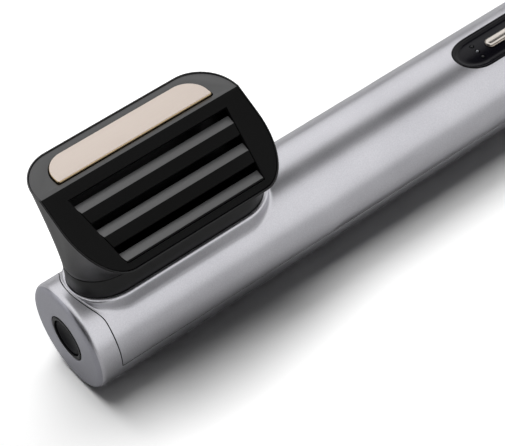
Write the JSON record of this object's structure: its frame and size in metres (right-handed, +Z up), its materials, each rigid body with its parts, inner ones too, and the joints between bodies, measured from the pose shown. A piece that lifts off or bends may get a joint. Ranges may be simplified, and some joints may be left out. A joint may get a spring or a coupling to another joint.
{
  "type": "hot air brush",
  "caption": "Hand-held hot air styler: round barrel with fan and heater, control panel, and a plug-in head with air louvres and a heated plate.",
  "frame": {"origin": "centre of the bottom of the bounding box, under the barrel as it lies with its head up", "axes": "+X along the barrel from the nose to the cord end, +Z up through the head, -Y the side that the louvres face"},
  "size_m": [0.29, 0.049, 0.0779],
  "materials": {
    "silver_shell": "satin metallic silver",
    "black_plastic": "satin",
    "gloss_black": "gloss",
    "blade_plastic": "satin",
    "plate_champagne": "satin coated",
    "slider_champagne": "satin",
    "steel": "plain",
    "contact_brass": "plain",
    "rubber": "matte",
    "mica_board": "matte",
    "board_green": "lacquered",
    "ceramic": "matte",
    "lens": "frosted"
  },
  "bodies": {
    "handle": {"upper_shell": "silver_shell", "lower_shell": "silver_shell", "nose_bezel": "gloss_black", "button_guide": "black_plastic", "button_spring": "steel", "collar": "black_plastic", "collar_seal": "rubber", "contact_socket": "black_plastic", "contact_pin_1": "contact_brass", "contact_pin_2": "contact_brass", "contact_pin_3": "contact_brass", "air_scoop": "black_plastic", "heater_tube": "mica_board", "heater_cross": "mica_board", "heater_coil": "steel", "heater_ring_front": "rubber", "heater_ring_rear": "rubber", "thermal_fuse": "ceramic", "thermostat": "steel", "panel_tray": "black_plastic", "indicator_lens_1": "lens", "indicator_lens_2": "lens", "indicator_lens_3": "lens", "circuit_board": "board_green", "slide_switch": "steel", "tact_switch_1": "steel", "tact_switch_2": "steel", "motor_housing": "black_plastic", "motor": "steel", "motor_ring_front": "rubber", "motor_ring_rear": "rubber", "inlet_grille": "black_plastic", "inlet_filter": "rubber", "rear_cap": "black_plastic", "rear_screw_1": "steel", "rear_screw_2": "steel"},
    "head": {"head_shell": "black_plastic", "head_catch": "steel", "head_contact": "black_plastic", "face_frame": "black_plastic", "louvre_blade_1": "blade_plastic", "louvre_blade_2": "blade_plastic", "louvre_blade_3": "blade_plastic", "heated_plate": "plate_champagne", "plate_heater": "ceramic", "plate_carrier": "black_plastic", "carrier_screw_1": "steel", "carrier_screw_2": "steel"},
    "release": {"nose_button": "gloss_black", "latch_rod": "black_plastic"},
    "slider": {"power_slider": "slider_champagne"},
    "heat_key": {"heat_button": "blade_plastic"},
    "cool_key": {"cool_button": "blade_plastic"},
    "fan": {"impeller": "black_plastic", "motor_shaft": "steel"},
    "gland": {"cord_gland": "rubber"}
  },
  "joints": [
    {"name": "head_lift", "type": "slide", "parent": "handle", "child": "head", "axis": [0, 0, 1], "range_m": [0, 0.03]},
    {"name": "nose_button_press", "type": "slide", "parent": "handle", "child": "release", "axis": [1, 0, 0], "range_m": [0, 0.0015], "stiffness_N_per_m": 800},
    {"name": "power_slide", "type": "slide", "parent": "handle", "child": "slider", "axis": [1, 0, 0], "range_m": [0, 0.008]},
    {"name": "heat_button_press", "type": "slide", "parent": "handle", "child": "heat_key", "axis": [0, 0.1392, -0.9903], "range_m": [0, 0.0006], "stiffness_N_per_m": 400},
    {"name": "cool_button_press", "type": "slide", "parent": "handle", "child": "cool_key", "axis": [0, 0.1392, -0.9903], "range_m": [0, 0.0006], "stiffness_N_per_m": 400},
    {"name": "fan_spin", "type": "hinge", "parent": "handle", "child": "fan", "pos_m": [0.1075, 0, 0.02], "axis": [1, 0, 0], "continuous": true},
    {"name": "gland_swivel", "type": "hinge", "parent": "handle", "child": "gland", "pos_m": [0.14, 0, 0.02], "axis": [1, 0, 0], "continuous": true}
  ]
}
